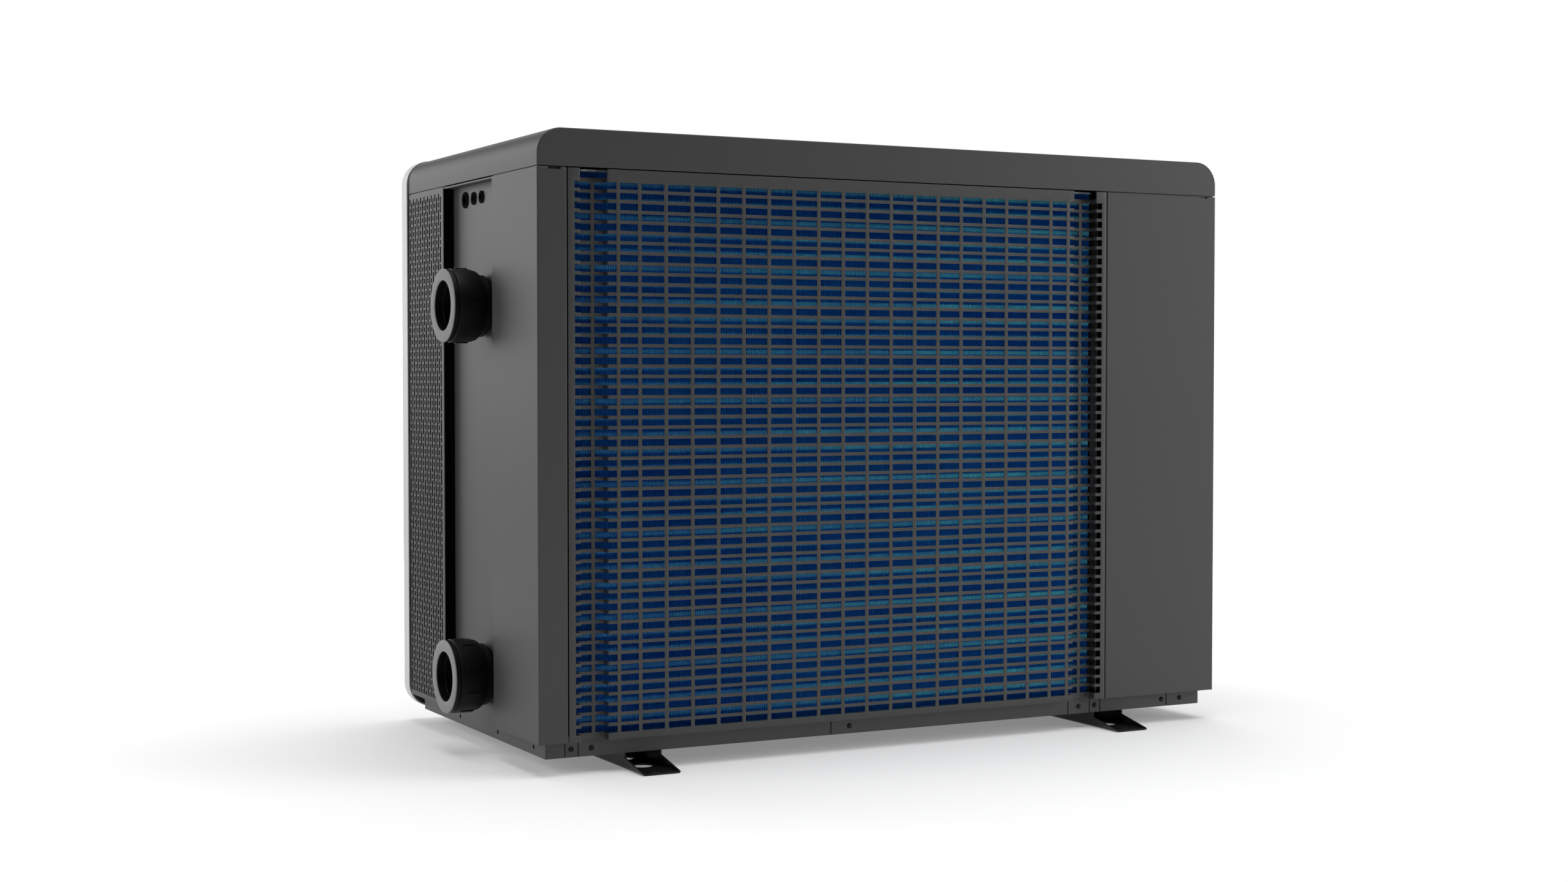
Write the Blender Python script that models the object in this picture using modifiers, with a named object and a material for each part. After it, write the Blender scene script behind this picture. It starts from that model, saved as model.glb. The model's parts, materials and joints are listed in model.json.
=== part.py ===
"""Pool heat pump: a floor-standing air-to-water unit with a slotted rear grille over its coil.

Frame: metres, +Z up, floor at Z = 0.  The fan blows towards -Y (front), the coil is at +Y (rear)
and the water unions are on the +X side.  The origin is the middle of the bounding box's floor.
"""
from math import cos, pi, radians, sin, tan

import bmesh
import bpy
from mathutils import Matrix, Vector

# ---- driving dimensions -------------------------------------------------------------------
GAP = 0.0003                    # clearance between touching pieces
SHEET = 0.0012                  # outer sheet metal
BEND = 0.0018                   # outside bend radius of the sheet metal

SIDE_X = 0.480                  # outer skin on the connection side
FAR_X = SIDE_X - 1.000          # outer skin on the far side
REAR_Y = 0.250                  # outer skin at the rear
FRONT_Y = REAR_Y - 0.484        # where the body ends and the front fascia starts
FASCIA_Y = FRONT_Y - 0.027      # face of the front fascia
BASE_Z = 0.020                  # underside of the base pan, carried by the feet
SKIN_Z = BASE_Z + 0.020         # lower edge of the outer panels
COVER_Z = BASE_Z + 0.7046       # lower edge of the top cover
TOP_Z = BASE_Z + 0.750
PANEL_Z = COVER_Z - 0.0014      # upper edge of the outer panels, under a thin gap
CORNER = 0.031                  # radius of the cover's upper corners

WALL_X = SIDE_X - 0.014         # inner side wall, set in from the skin
FAR_WALL_X = FAR_X + 0.014
RAIL_Y = REAR_Y - 0.015         # face of the rail under the grille
WALL_TOP_Z = BASE_Z + 0.7020

FOOT_WIDTH = 0.050
FOOT_REACH = 0.040              # how far a foot stands out behind the rear skin
FOOT_SHEET = 0.002
FOOT_X = (SIDE_X - 0.1415, SIDE_X - 0.833)

GRILLE_LEFT = SIDE_X - 0.0389   # grille edges and folds, from the connection side
GRILLE_RIGHT = SIDE_X - 0.8160
FOLD_LEFT = (SIDE_X - 0.0547, SIDE_X - 0.0893)
FOLD_RIGHT = (SIDE_X - 0.7644, SIDE_X - 0.7994)
GROOVE = 0.014                  # depth of the two grooves in the grille
SLOT_TOP_Z = BASE_Z + 0.688
SLOT_BOTTOM_Z = BASE_Z + 0.028

RECESS_Y = (REAR_Y - 0.336, REAR_Y - 0.155)   # connection recess in the side
AIR_PANEL_Y = (REAR_Y - 0.4817, RECESS_Y[0])  # perforated side panel

UNION_Y = REAR_Y - 0.219
UNION_Z = {"lower": BASE_Z + 0.078, "upper": BASE_Z + 0.545}
UNION_REACH = 0.042             # how far a union stands out of the skin
UNION_R = 0.0462
SOCKET_R = 0.0316               # takes a 63 mm pipe end
SPIGOT_R = 0.022                # water way through the union body

CABLE_Z = BASE_Z + 0.6835
CABLE_HOLES = ((REAR_Y - 0.289, 0.0105), (REAR_Y - 0.257, 0.0082), (REAR_Y - 0.228, 0.0080))

FAN_X = SIDE_X - 0.500
FAN_Z = BASE_Z + 0.375
FAN_Y = FRONT_Y + 0.046         # middle plane of the blades
FAN_R = 0.235
FAN_OPENING_R = 0.250

COIL_X = (FAR_X + 0.1955, SIDE_X - 0.047)
COIL_Y = (REAR_Y - 0.057, REAR_Y - 0.0195)
COIL_Z = (BASE_Z + 0.004, BASE_Z + 0.7010)

PARTITION_X = SIDE_X - 0.815    # wall between the fan room and the compressor room
COMPRESSOR_X = (PARTITION_X + FAR_WALL_X) / 2
COMPRESSOR_Y = REAR_Y - 0.190
COIL_PORT_Z = {"gas": BASE_Z + 0.330, "liquid": BASE_Z + 0.180}
GAS_LINE_Z = BASE_Z + 0.055
LIQUID_LINE_Y = REAR_Y - 0.090
VESSEL_X = SIDE_X - 0.126
VESSEL_R = 0.070

PARTS = bpy.data.collections.new("pool_heat_pump")
CUTTERS = bpy.data.collections.new("cutters")


# ---- helpers ------------------------------------------------------------------------------
def material(name, colour, roughness, metallic=0.0):
    """Make a Principled material from a display colour."""
    made = bpy.data.materials.new(name)
    made.use_nodes = True
    shader = made.node_tree.nodes["Principled BSDF"]
    linear = [c / 12.92 if c < 0.04045 else ((c + 0.055) / 1.055) ** 2.4 for c in colour]
    shader.inputs["Base Color"].default_value = (*linear, 1.0)
    shader.inputs["Roughness"].default_value = roughness
    shader.inputs["Metallic"].default_value = metallic
    return made


def link(name, bm, paint):
    """Turn a bmesh into a named part."""
    mesh = bpy.data.meshes.new(name)
    bm.to_mesh(mesh)
    bm.free()
    mesh.materials.append(paint)
    made = bpy.data.objects.new(name, mesh)
    PARTS.objects.link(made)
    return made


def add_box(bm, low, high):
    """Add a box between two corners."""
    low, high = Vector(low), Vector(high)
    size = Matrix.Diagonal((high - low).to_4d())
    size[3][3] = 1.0
    bmesh.ops.create_cube(bm, size=1.0, matrix=Matrix.Translation((low + high) / 2) @ size)


def box(name, low, high, paint):
    bm = bmesh.new()
    add_box(bm, low, high)
    return link(name, bm, paint)


def boxes(name, corners, paint):
    """Several boxes in one mesh, for use as a cutter."""
    bm = bmesh.new()
    for low, high in corners:
        add_box(bm, low, high)
    return link(name, bm, paint)


def cylinder(name, centre, axis, radius, length, paint, sides=24):
    """A straight cylinder about any axis, centred on a point."""
    bm = bmesh.new()
    turn = Vector((0, 0, 1)).rotation_difference(Vector(axis)).to_matrix().to_4x4()
    bmesh.ops.create_cone(bm, cap_ends=True, segments=sides, radius1=radius, radius2=radius,
                          depth=length, matrix=Matrix.Translation(centre) @ turn)
    return link(name, bm, paint)


def boolean(target, tool, operation="DIFFERENCE"):
    """Cut a part by another, or join them, and hide the tool."""
    step = target.modifiers.new(operation.lower(), "BOOLEAN")
    step.operation = operation
    step.solver = "EXACT"
    step.object = tool
    PARTS.objects.unlink(tool)
    CUTTERS.objects.link(tool)
    tool.hide_render = True
    tool.display_type = "WIRE"
    return target


def join(target, tool):
    return boolean(target, tool, "UNION")


def smooth(part, angle=35):
    part.data.shade_smooth()
    part.data.set_sharp_from_angle(angle=radians(angle))
    return part


def turned(name, profile, centre, axis, paint, steps=32, ring=False):
    """Turn a (radius, height) profile, listed from its top down the outer side, about an axis."""
    bm = bmesh.new()
    points = [bm.verts.new((r, 0, h)) for r, h in profile]
    pairs = list(zip(points, points[1:]))
    if ring:
        pairs.append((points[-1], points[0]))
    for a, b in pairs:
        bm.edges.new((a, b))
    made = link(name, bm, paint)
    screw = made.modifiers.new("turn", "SCREW")
    screw.steps = screw.render_steps = steps
    screw.use_merge_vertices = True
    screw.merge_threshold = 0.00001
    screw.use_smooth_shade = True
    made.location = centre
    made.rotation_euler = Vector((0, 0, 1)).rotation_difference(Vector(axis)).to_euler()
    return made


def rounded(path, radius, segments=3):
    """Replace the inner corners of a 2-D or 3-D path by arcs."""
    path = [Vector(p) for p in path]
    done = [path[0]]
    for before, corner, after in zip(path, path[1:], path[2:]):
        a, b = (before - corner).normalized(), (after - corner).normalized()
        half = a.angle(b) / 2
        reach = radius / tan(half)
        middle = corner + (a + b).normalized() * (radius / sin(half))
        start, end = corner + a * reach - middle, corner + b * reach - middle
        for i in range(segments + 1):
            share = i / segments
            arm = start * sin((1 - share) * (pi - 2 * half)) + end * sin(share * (pi - 2 * half))
            done.append(middle + arm / sin(pi - 2 * half))
    done.append(path[-1])
    return done


def bent_sheet(name, path, along, paint, thickness=SHEET, inside=None, end_cap=False):
    """Sheet metal: an outer 2-D path, swept and thickened towards a point inside.

    along is ("Z", low, high) for a path in X and Y, or ("Y", low, high) for one in X and Z.
    """
    direction, low, high = along

    def at(point, height):
        if direction == "Z":
            return (point[0], point[1], height)
        return (point[0], height, point[1])

    bm = bmesh.new()
    first = [bm.verts.new(at(p, low)) for p in path]
    last = [bm.verts.new(at(p, high)) for p in path]
    for i in range(len(path) - 1):
        bm.faces.new((first[i], first[i + 1], last[i + 1], last[i]))
    if end_cap:
        bm.faces.new(last)
        bmesh.ops.recalc_face_normals(bm, faces=bm.faces)
    bm.normal_update()
    centre = Vector(inside if inside else ((SIDE_X + FAR_X) / 2, 0, TOP_Z / 2))
    outward = sum(f.normal.dot(f.calc_center_median() - centre) * f.calc_area() for f in bm.faces)
    if outward < 0:
        bmesh.ops.reverse_faces(bm, faces=bm.faces)
    made = link(name, bm, paint)
    shell = made.modifiers.new("thickness", "SOLIDIFY")
    shell.thickness = thickness
    shell.offset = -1.0
    shell.use_even_offset = True
    return made


def tray(name, low, high, thickness, paint):
    """An open-topped folded tray."""
    bm = bmesh.new()
    add_box(bm, low, high)
    top = max(bm.faces, key=lambda f: f.calc_center_median().z)
    bmesh.ops.delete(bm, geom=[top], context="FACES_ONLY")
    made = link(name, bm, paint)
    shell = made.modifiers.new("thickness", "SOLIDIFY")
    shell.thickness = thickness
    shell.offset = -1.0
    shell.use_even_offset = True
    return made


def plate(name, outline, thickness, place, paint):
    """A flat plate from a closed outline in its own XY plane, half its thickness to each side."""
    bm = bmesh.new()
    low = [bm.verts.new((spot[0], spot[1], -thickness / 2)) for spot in outline]
    high = [bm.verts.new((spot[0], spot[1], thickness / 2)) for spot in outline]
    bm.faces.new(low[::-1])
    bm.faces.new(high)
    for i, after in enumerate(low[1:] + low[:1]):
        bm.faces.new((low[i], after, high[(i + 1) % len(high)], high[i]))
    bmesh.ops.transform(bm, matrix=place, verts=bm.verts)
    bmesh.ops.recalc_face_normals(bm, faces=bm.faces)
    return link(name, bm, paint)


def upright(y):
    """Stand a plate up in XZ at a given Y, with its outline's second value as height."""
    return Matrix.Translation((0, y, 0)) @ Matrix.Rotation(radians(90), 4, "X")


def round_rectangle(low, high, radius, segments=6):
    """Outline of a rectangle with rounded corners."""
    outline = []
    for quarter, (cx, cy) in enumerate((
            (high[0] - radius, high[1] - radius), (low[0] + radius, high[1] - radius),
            (low[0] + radius, low[1] + radius), (high[0] - radius, low[1] + radius))):
        for i in range(segments + 1):
            angle = radians(90) * (quarter + i / segments)
            outline.append((cx + radius * cos(angle), cy + radius * sin(angle)))
    return outline


def tube(name, route, radius, paint, bend=0.03):
    """A pipe along a route with rounded corners."""
    curve = bpy.data.curves.new(name, "CURVE")
    curve.dimensions = "3D"
    curve.bevel_depth = radius
    curve.bevel_resolution = 1
    curve.use_fill_caps = True
    points = rounded(route, bend)
    spline = curve.splines.new("POLY")
    spline.points.add(len(points) - 1)
    for point, spot in zip(spline.points, points):
        point.co = (*spot, 1)
    curve.materials.append(paint)
    made = bpy.data.objects.new(name, curve)
    PARTS.objects.link(made)
    return made


# ---- finishes -----------------------------------------------------------------------------
def make_finishes():
    return {
        "charcoal": material("charcoal_paint", (0.30, 0.30, 0.31), 0.5),
        "silver": material("silver_fascia", (0.84, 0.84, 0.85), 0.4),
        "foot": material("black_paint", (0.05, 0.05, 0.05), 0.35),
        "black": material("black_plastic", (0.07, 0.07, 0.07), 0.45),
        "ring": material("grey_ring", (0.60, 0.60, 0.61), 0.5),
        "zinc": material("galvanised_steel", (0.70, 0.71, 0.72), 0.4, 1.0),
        "fin": material("blue_fin", (0.05, 0.25, 0.60), 0.35, 0.6),
        "copper": material("copper", (0.80, 0.45, 0.30), 0.3, 1.0),
        "compressor": material("compressor_enamel", (0.06, 0.06, 0.065), 0.4),
        "vessel": material("vessel_plastic", (0.16, 0.17, 0.18), 0.5),
        "rubber": material("black_rubber", (0.03, 0.03, 0.03), 0.8),
        "screw": material("dark_screw", (0.10, 0.10, 0.10), 0.35, 0.8),
        "box": material("box_plastic", (0.80, 0.80, 0.78), 0.5),
    }


# ---- base and feet ------------------------------------------------------------------------
def make_base(paint):
    pan = tray("base_pan", (FAR_WALL_X + SHEET + GAP, FRONT_Y + 0.0195, BASE_Z),
               (WALL_X - SHEET - GAP, RAIL_Y - SHEET - GAP, BASE_Z + 0.0225), 0.0015, paint["charcoal"])
    boolean(pan, cylinder("pan_drain_cut", (FAN_X, 0.150, BASE_Z), (0, 0, 1), 0.0088, 0.02,
                          paint["zinc"], 16))
    spout = turned("drain_spout", [(0.0085, 0.0030), (0.0085, -0.0005), (0.0140, -0.0005),
                                   (0.0140, -0.0025), (0.0085, -0.0025), (0.0085, -0.0140),
                                   (0.0065, -0.0140), (0.0065, 0.0030)],
                   (FAN_X, 0.150, BASE_Z), (0, 0, 1), paint["black"], 16, ring=True)
    rail_left = SIDE_X - 0.0384 - 0.0012
    rail = box("rear_rail", (FAR_WALL_X, RAIL_Y - SHEET, BASE_Z),
               (rail_left, RAIL_Y, BASE_Z + 0.026), paint["charcoal"])
    slits = [(across, 0.0016) for across in (0.0560, 0.4020, 0.7670, 0.8020, 0.8196, 0.9315)]
    boolean(rail, boxes("rail_slit_cut",
                        [((SIDE_X - across - wide / 2, RAIL_Y - 0.004, BASE_Z - 0.002),
                          (SIDE_X - across + wide / 2, RAIL_Y + 0.002, BASE_Z + 0.0190))
                         for across, wide in slits], paint["charcoal"]))
    return pan, spout, rail


def make_foot(name, x, paint):
    """A folded channel across the depth, cut at a slant at both ends, with fixing holes."""
    half = FOOT_WIDTH / 2
    end = REAR_Y + FOOT_REACH
    path = [(x - half, BASE_Z - GAP), (x - half, 0), (x + half, 0), (x + half, BASE_Z - GAP)]
    foot = bent_sheet(name, rounded(path, 0.0035), ("Y", -end, end), paint["foot"], FOOT_SHEET,
                      inside=(x, 0, BASE_Z))
    knee = REAR_Y - 0.0160
    for side in (1, -1):
        slant = plate(f"{name}_slant_cut_{side}",
                      [(end + 0.010, FOOT_SHEET - 0.0026), (end, FOOT_SHEET + 0.0004),
                       (knee, BASE_Z - 0.0060), (knee, BASE_Z + 0.010),
                       (end + 0.010, BASE_Z + 0.010)],
                      FOOT_WIDTH + 0.02, side_on(x, side), paint["foot"])
        boolean(foot, slant)
        for inward, radius, aside in ((0.019, 0.0135, 0.0), (0.077, 0.0135, 0.0), (-0.033, 0.005, 0.0045)):
            boolean(foot, cylinder(f"{name}_hole_cut_{side}_{inward}",
                                   (x + aside, side * (REAR_Y - inward), 0), (0, 0, 1),
                                   radius, 0.012, paint["foot"], 20))
    return smooth(foot)


def side_on(x, side):
    """Stand a plate up in YZ at a given X; side -1 turns it to face the front."""
    return Matrix.Translation((x, 0, 0)) @ Matrix.Scale(side, 4, (0, 1, 0)) @ Matrix(
        ((0, 0, 1, 0), (1, 0, 0, 0), (0, 1, 0, 0), (0, 0, 0, 1)))


# ---- outer skins --------------------------------------------------------------------------
def make_cover(paint):
    path = rounded([(SIDE_X, COVER_Z), (SIDE_X, TOP_Z), (FAR_X, TOP_Z), (FAR_X, COVER_Z)], CORNER, 6)
    cover = bent_sheet("top_cover", path, ("Y", FRONT_Y + GAP, REAR_Y), paint["charcoal"],
                       end_cap=True, inside=((SIDE_X + FAR_X) / 2, 0, COVER_Z))
    return smooth(cover, 30)


def make_skins(paint):
    charcoal = paint["charcoal"]
    near_edge = GRILLE_LEFT + 0.0012
    near = rounded([(WALL_X + GAP, RECESS_Y[1]), (SIDE_X, RECESS_Y[1]), (SIDE_X, REAR_Y),
                    (near_edge, REAR_Y), (near_edge, REAR_Y - 0.012)], BEND)
    bent_sheet("corner_panel_near", near, ("Z", SKIN_Z, PANEL_Z), charcoal)
    far_edge = SIDE_X - 0.8174
    far = rounded([(far_edge, REAR_Y - 0.012), (far_edge, REAR_Y), (FAR_X, REAR_Y),
                   (FAR_X, RECESS_Y[1]), (FAR_X + 0.012, RECESS_Y[1])], BEND)
    bent_sheet("corner_panel_far", far, ("Z", SKIN_Z, PANEL_Z), charcoal)
    service_rear = RECESS_Y[1] - 0.0016
    service = rounded([(FAR_X + 0.012, service_rear), (FAR_X, service_rear),
                       (FAR_X, AIR_PANEL_Y[0]), (FAR_X + 0.010, AIR_PANEL_Y[0])], BEND)
    bent_sheet("service_panel", service, ("Z", SKIN_Z, PANEL_Z), charcoal)
    air = rounded([(SIDE_X - 0.010, AIR_PANEL_Y[0]), (SIDE_X, AIR_PANEL_Y[0]),
                   (SIDE_X, AIR_PANEL_Y[1]), (SIDE_X - 0.004, AIR_PANEL_Y[1])], BEND)
    panel = bent_sheet("air_panel", air, ("Z", SKIN_Z, PANEL_Z), charcoal)
    rows, columns = 7, 4
    slot_height, slot_width = 0.080, 0.022
    step_z = (PANEL_Z - SKIN_Z - 0.030) / rows
    step_y = (AIR_PANEL_Y[1] - AIR_PANEL_Y[0] - 0.018) / columns
    windows = [((SIDE_X - 0.004, y, z), (SIDE_X + 0.002, y + slot_width, z + slot_height))
               for z in (SKIN_Z + 0.020 + step_z * row for row in range(rows))
               for y in (AIR_PANEL_Y[0] + 0.013 + step_y * column for column in range(columns))]
    boolean(panel, boxes("air_panel_cut", windows, charcoal))
    box("recess_trim", (WALL_X + GAP, RECESS_Y[0] + GAP, BASE_Z + 0.0200),
        (SIDE_X - 0.0006, RECESS_Y[0] + 0.0040, WALL_TOP_Z - 0.0012), paint["black"])


def make_inner_walls(paint):
    """The side walls behind the skins; the near one carries the unions and the cable entries."""
    front = FRONT_Y + 0.0175
    wall = bent_sheet("connection_wall",
                      rounded([(WALL_X - 0.026, front), (WALL_X, front), (WALL_X, RAIL_Y),
                               (SIDE_X - 0.0384 + GAP, RAIL_Y)], BEND),
                      ("Z", BASE_Z, WALL_TOP_Z), paint["charcoal"])
    join(wall, box("recess_lip", (WALL_X - 0.0008, RECESS_Y[0] + 0.0006, WALL_TOP_Z - 0.0010),
                   (SIDE_X - 0.0006, RECESS_Y[1] - 0.0006, WALL_TOP_Z + 0.0010), paint["charcoal"]))
    for z in UNION_Z.values():
        boolean(wall, cylinder(f"union_cut_{z:.2f}", (WALL_X, UNION_Y, z), (1, 0, 0), 0.0290, 0.02,
                               paint["charcoal"], 32))
    for y, radius in CABLE_HOLES:
        boolean(wall, cylinder(f"cable_cut_{y:.2f}", (WALL_X, y, CABLE_Z), (1, 0, 0),
                               radius - 0.0013, 0.02, paint["charcoal"], 20))
    for inward in (0.0535, 0.1773, 0.3194):
        boolean(wall, cylinder(f"wall_hole_cut_{inward:.2f}", (WALL_X, REAR_Y - inward, BASE_Z + 0.0097),
                               (1, 0, 0), 0.0029, 0.02, paint["charcoal"], 12))
    box("far_wall", (FAR_WALL_X, front, BASE_Z), (FAR_WALL_X + SHEET, RAIL_Y - SHEET - GAP, WALL_TOP_Z),
        paint["zinc"])
    return wall


def make_grommets(paint):
    """Rubber rings in the cable entries, each clamped round the wall's edge."""
    for number, (y, radius) in enumerate(CABLE_HOLES, 1):
        neck = radius - 0.0016
        ring = [(radius, 0.0018), (radius, GAP), (neck, GAP), (neck, -SHEET - GAP),
                (radius, -SHEET - GAP), (radius, -0.0030), (neck - 0.0025, -0.0030),
                (neck - 0.0025, 0.0018)]
        turned(f"cable_grommet_{number}", ring, (WALL_X, y, CABLE_Z), (1, 0, 0),
               paint["rubber"], 20, ring=True)


# ---- rear grille and coil -----------------------------------------------------------------
def make_grille(paint):
    """One folded sheet: two flanges, two grooves and the main field, with openings in rows."""
    floor = REAR_Y - GROOVE
    path = [(GRILLE_LEFT, REAR_Y), (FOLD_LEFT[0], REAR_Y), (FOLD_LEFT[0], floor),
            (FOLD_LEFT[1], floor), (FOLD_LEFT[1], REAR_Y), (FOLD_RIGHT[0], REAR_Y),
            (FOLD_RIGHT[0], floor), (FOLD_RIGHT[1], floor), (FOLD_RIGHT[1], REAR_Y),
            (GRILLE_RIGHT, REAR_Y)]
    grille = bent_sheet("rear_grille", rounded(path, 0.0015, 2), ("Z", SKIN_Z, PANEL_Z),
                        paint["charcoal"], thickness=0.0010)
    rows, columns = 8, 8
    bar = 0.010
    step_z = (SLOT_TOP_Z - SLOT_BOTTOM_Z + bar) / rows
    left, right = FOLD_LEFT[1] - 0.012, FOLD_RIGHT[0] + 0.012
    step_x = (left - right + bar) / columns
    cut = [((right + step_x * column, REAR_Y - 0.004, SLOT_BOTTOM_Z + step_z * row),
            (right + step_x * column + step_x - bar, REAR_Y + 0.002,
             SLOT_BOTTOM_Z + step_z * row + step_z - bar))
           for row in range(rows) for column in range(columns)]
    cut += [((fold[1] + 0.006, floor - 0.003, SLOT_BOTTOM_Z + step_z * row),
             (fold[0] - 0.006, floor + 0.003, SLOT_BOTTOM_Z + step_z * row + step_z - bar))
            for row in range(rows) for fold in (FOLD_LEFT, FOLD_RIGHT)]
    return boolean(grille, boxes("grille_cut", cut, paint["charcoal"]))


def make_coil(paint):
    low = (COIL_X[0] + 0.0020, COIL_Y[0], COIL_Z[0])
    high = (COIL_X[1] - 0.0020, COIL_Y[1], COIL_Z[1])
    box("coil_fins", low, high, paint["fin"])
    for name, x in (("coil_end_plate_far", COIL_X[0]), ("coil_end_plate_near", COIL_X[1] - 0.0015)):
        box(name, (x, COIL_Y[0] - 0.004, COIL_Z[0]), (x + 0.0015, COIL_Y[1] + 0.0005, COIL_Z[1]),
            paint["black"])
    box("coil_top_rail", (COIL_X[0], COIL_Y[0], COIL_Z[1] + GAP),
        (COIL_X[1], COIL_Y[1] + 0.0005, COIL_Z[1] + 0.0026), paint["zinc"])


# ---- front: shroud, guard, fascia, fan ----------------------------------------------------
def moulded_panel(name, low, high, radius, y_front, y_back, skin, paint, hole_r, bevel=0.0):
    """A shallow moulding open at the back, with a round air opening."""
    slab = plate(name, round_rectangle(low, high, radius), y_back - y_front,
                 upright((y_front + y_back) / 2), paint)
    if bevel:
        edge = slab.modifiers.new("edges", "BEVEL")
        edge.width = bevel
        edge.segments = 2
        edge.angle_limit = radians(60)
    inner_low = (low[0] + skin, low[1] + skin)
    inner_high = (high[0] - skin, high[1] - skin)
    boolean(slab, plate(name + "_hollow_cut",
                        round_rectangle(inner_low, inner_high, radius - skin), y_back - y_front,
                        upright((y_front + y_back) / 2 + skin), paint))
    boolean(slab, cylinder(name + "_hole_cut", (FAN_X, y_front, FAN_Z), (0, 1, 0), hole_r, 0.1,
                           paint, 48))
    return slab


def make_front(paint):
    moulded_panel("front_fascia", (FAR_X - 0.002, BASE_Z), (SIDE_X + 0.002, TOP_Z + 0.001),
                  CORNER + 0.002, FASCIA_Y, FRONT_Y, 0.003, paint["silver"], FAN_OPENING_R, 0.0025)
    shroud = moulded_panel("fan_shroud", (FAR_X + 0.0125, BASE_Z + 0.0005),
                           (SIDE_X - 0.0125, TOP_Z - 0.006), CORNER - 0.009, FRONT_Y + 0.0005,
                           FRONT_Y + 0.0165, 0.003, paint["black"], FAN_OPENING_R - 0.0022)
    outer, inner = FAN_OPENING_R - 0.001, FAN_OPENING_R - 0.0045
    collar = turned("shroud_collar", [(inner, 0.070), (outer, 0.070), (outer, 0.0012),
                                      (inner, 0.0012)],
                    (FAN_X, FRONT_Y, FAN_Z), (0, 1, 0), paint["black"], 48, ring=True)
    join(shroud, collar)


def make_guard(paint):
    """Outlet guard: concentric rings tied by spokes round a middle disc."""
    y = FASCIA_Y + 0.006
    guard = turned("fan_guard", [(0, 0.003), (0.055, 0.003), (0.060, 0.0), (0.060, -0.003), (0, -0.003)],
                   (FAN_X, y, FAN_Z), (0, -1, 0), paint["black"], 32)
    for ring in range(1, 4):
        radius = 0.060 + (FAN_OPENING_R - 0.0608) * ring / 3
        join(guard, turned(f"guard_ring_{ring}",
                           [(radius - 0.005, 0.002), (radius, 0.002), (radius, -0.002),
                            (radius - 0.005, -0.002)],
                           (FAN_X, y, FAN_Z), (0, -1, 0), paint["black"], 36, ring=True))
    for spoke in range(6):
        bm = bmesh.new()
        add_box(bm, (0.050, -0.0027, -0.0025), (FAN_OPENING_R - 0.003, 0.0013, 0.0025))
        turn = Matrix.Rotation(radians(60 * spoke + 27.5), 4, "Y")
        bmesh.ops.transform(bm, matrix=Matrix.Translation((FAN_X, y, FAN_Z)) @ turn, verts=bm.verts)
        join(guard, link(f"guard_spoke_{spoke}", bm, paint["black"]))
    return guard


def fan_blade(name, angle, paint):
    """One swept, twisted blade as a thickened sheet."""
    root, tip = 0.048, FAN_R
    stations, chords = 6, 4
    bm = bmesh.new()
    rows = []
    for i in range(stations):
        share = i / (stations - 1)
        r = root + (tip - root) * share
        half = radians(24 + 6 * sin(pi * share))
        sweep = radians(16) * share
        pitch = radians(34 - 16 * share)
        row = []
        for j in range(chords):
            turn = half * (2 * j / (chords - 1) - 1)
            offset = tan(pitch) * r * turn * 0.8
            row.append(bm.verts.new((r * cos(turn + sweep), offset, r * sin(turn + sweep))))
        rows.append(row)
    for inner, outer in zip(rows, rows[1:]):
        for j in range(chords - 1):
            bm.faces.new((inner[j], inner[j + 1], outer[j + 1], outer[j]))
    place = Matrix.Translation((FAN_X, FAN_Y, FAN_Z)) @ Matrix.Rotation(angle, 4, "Y")
    bmesh.ops.transform(bm, matrix=place, verts=bm.verts)
    blade = link(name, bm, paint)
    thick = blade.modifiers.new("thickness", "SOLIDIFY")
    thick.thickness = 0.003
    thick.offset = 0.0
    return blade


def make_fan(paint):
    axle = Vector((FAN_X, FAN_Y, FAN_Z))
    rotor = turned("fan_rotor", [(0, -0.026), (0.044, -0.026), (0.052, -0.020), (0.054, 0.026),
                                 (0.0063, 0.026), (0.0063, -0.016), (0, -0.016)][::-1],
                   (0, 0, 0), (0, 1, 0), paint["black"], 32)
    rotor.location = axle
    for number in range(3):
        join(rotor, fan_blade(f"blade_{number}", radians(120 * number), paint["black"]))
    turned("motor_shaft", [(0, 0.064), (0.0058, 0.064), (0.0060, -0.0150), (0, -0.0150)],
           axle, (0, 1, 0), paint["zinc"], 12)
    turned("fan_motor", [(0, 0.118), (0.040, 0.118), (0.050, 0.112), (0.050, 0.044),
                         (0.042, 0.036), (0.0065, 0.036), (0.0065, 0.066), (0, 0.066)],
           axle, (0, 1, 0), paint["zinc"], 28)
    plate_y = FAN_Y + 0.118 + GAP
    box("motor_plate", (FAN_X - 0.078, plate_y, FAN_Z - 0.060),
        (FAN_X + 0.078, plate_y + 0.0025, FAN_Z + 0.060), paint["zinc"])
    for name, side in (("motor_rail_near", 1), ("motor_rail_far", -1)):
        x = FAN_X + side * 0.060
        rail_y = plate_y + 0.0025 + GAP
        path = [(x - 0.014, rail_y + 0.022), (x - 0.014, rail_y), (x + 0.014, rail_y),
                (x + 0.014, rail_y + 0.022)]
        bent_sheet(name, path, ("Z", BASE_Z + 0.0018, BASE_Z + 0.690), paint["zinc"], 0.0015,
                   inside=(x, rail_y + 0.02, FAN_Z))


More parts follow.
